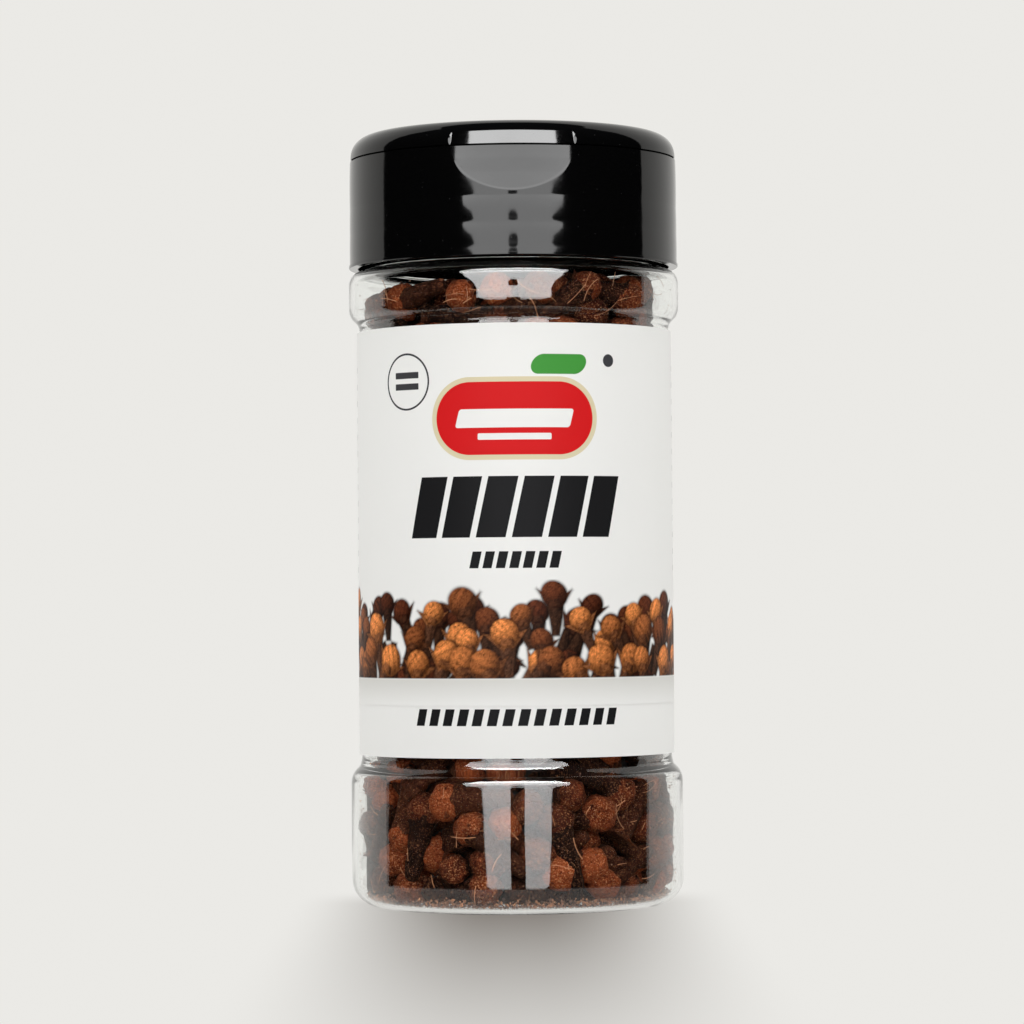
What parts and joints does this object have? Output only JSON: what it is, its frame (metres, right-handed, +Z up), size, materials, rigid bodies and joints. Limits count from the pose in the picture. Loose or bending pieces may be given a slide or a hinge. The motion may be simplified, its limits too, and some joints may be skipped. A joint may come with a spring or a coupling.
{
  "type": "spice jar of whole cloves",
  "caption": "Clear round spice jar full of whole dried cloves, with a white wrap-around label and a glossy black flip-top cap.",
  "frame": {"origin": "centre of the jar's foot, on the surface that it stands on", "axes": "+Z up along the jar's axis; -Y towards the front of the label and the cap's thumb scoop; +X to the right seen from the front"},
  "size_m": [0.048, 0.048, 0.1115],
  "materials": {
    "clear_plastic": "gloss",
    "black_plastic": "gloss",
    "label_film": "satin",
    "dried_clove": "matte"
  },
  "bodies": {
    "root": {"bottle": "clear_plastic", "label": "label_film", "cap": "black_plastic", "flap_front": "black_plastic", "flap_back": "black_plastic", "cloves": "dried_clove"}
  },
  "joints": []
}
